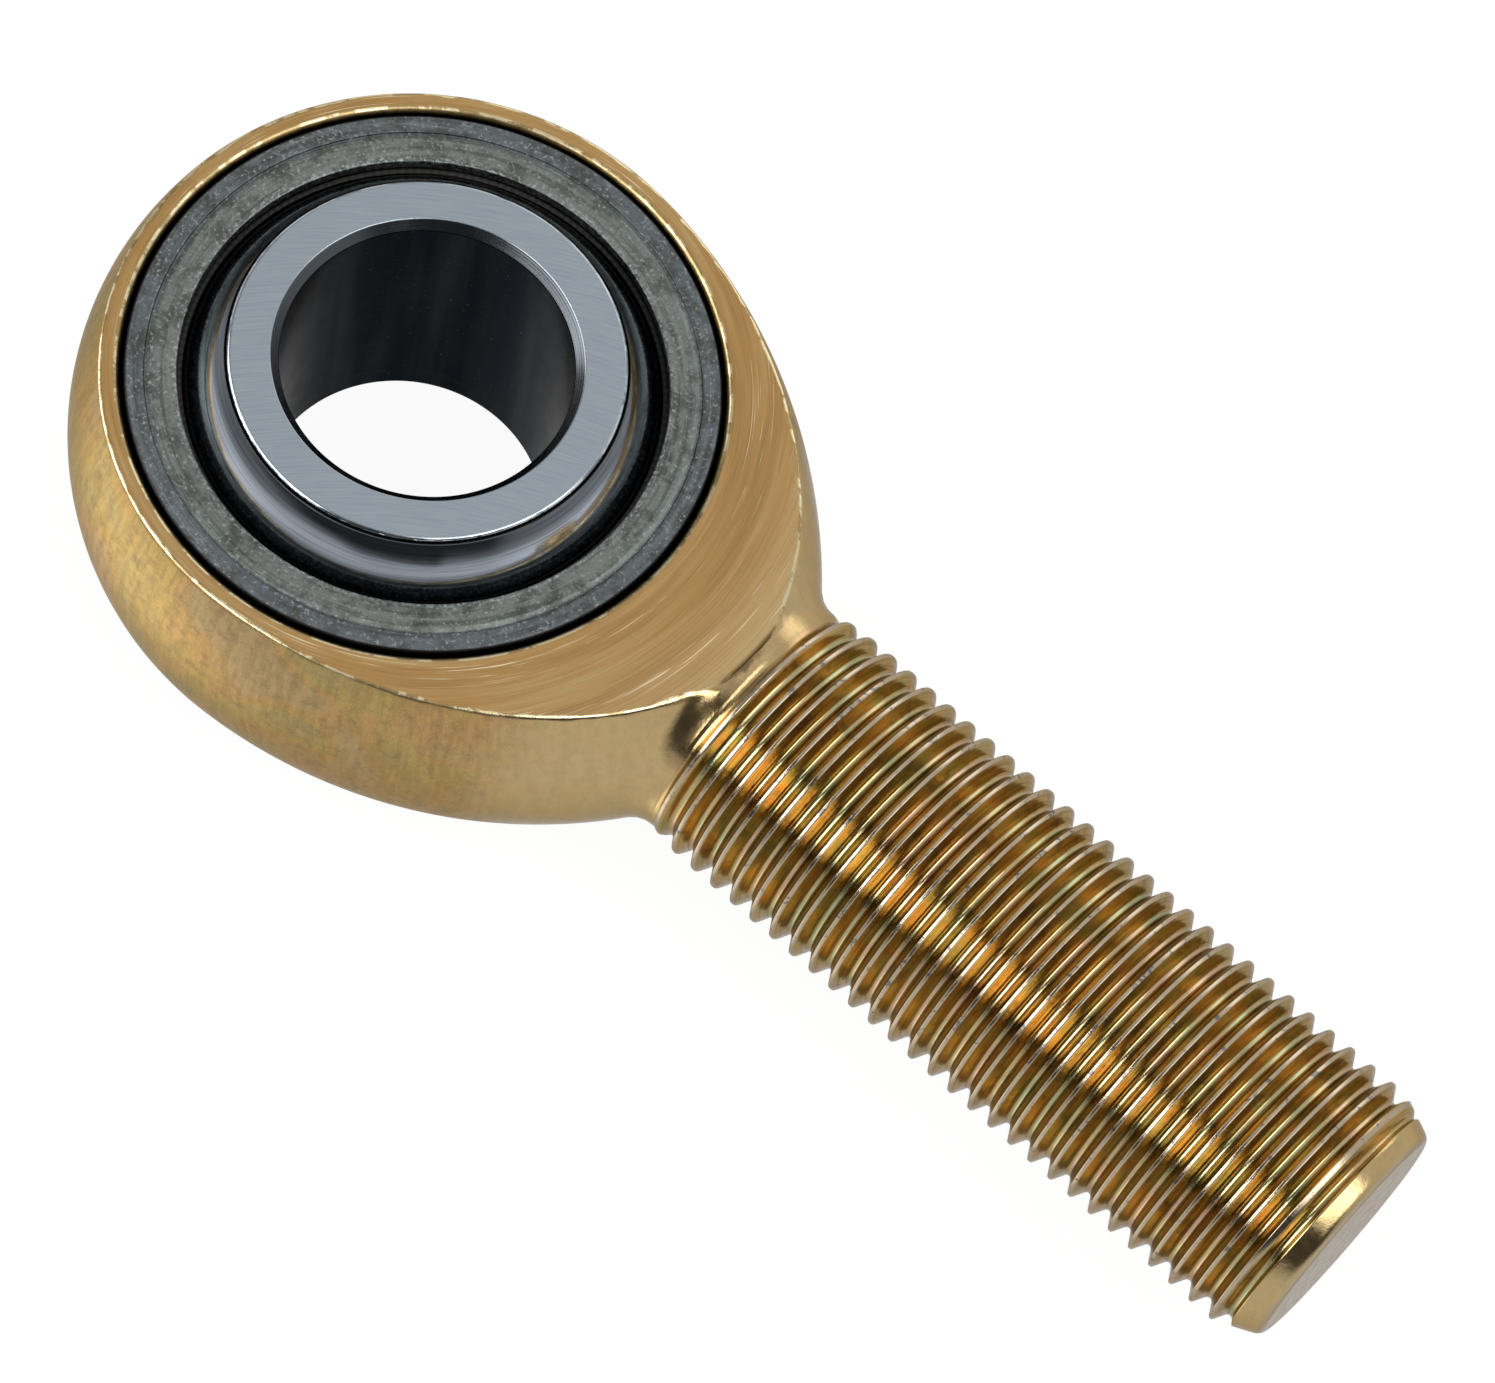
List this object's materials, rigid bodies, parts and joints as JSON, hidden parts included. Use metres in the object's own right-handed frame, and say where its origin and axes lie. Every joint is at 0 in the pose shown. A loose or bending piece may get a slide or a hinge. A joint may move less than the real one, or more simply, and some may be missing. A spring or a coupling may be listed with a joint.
{
  "type": "rod end bearing",
  "caption": "Male rod end bearing: round head holding a bored spherical ball in a lined race, on a straight shank with a left-hand thread.",
  "frame": {"origin": "centre of the ball, on the bore's axis and on the shank's axis", "axes": "+X along the shank to its threaded end, +Z along the bore's axis, +Y across the head"},
  "size_m": [0.0855, 0.0376, 0.019],
  "materials": {
    "gold_chromate": "yellow chromate plated forged steel, satin with bright worn edges",
    "race_steel": "dark heat-treated steel, grainy satin",
    "liner_fabric": "thin dark woven PTFE liner",
    "ball_chrome": "polished sphere, brushed flat faces, dark bore"
  },
  "bodies": {
    "housing": {"rod_end_body": "gold_chromate", "outer_race": "race_steel"},
    "liner": {"ptfe_liner": "liner_fabric"},
    "ball": {"ball": "ball_chrome"}
  },
  "joints": [
    {"name": "ball_spin", "type": "hinge", "parent": "housing", "child": "liner", "pos_m": [0, 0, 0], "axis": [0, 0, 1], "continuous": true},
    {"name": "ball_tilt", "type": "hinge", "parent": "liner", "child": "ball", "pos_m": [0, 0, 0], "axis": [1, 0, 0], "range_deg": [-16, 16]}
  ]
}
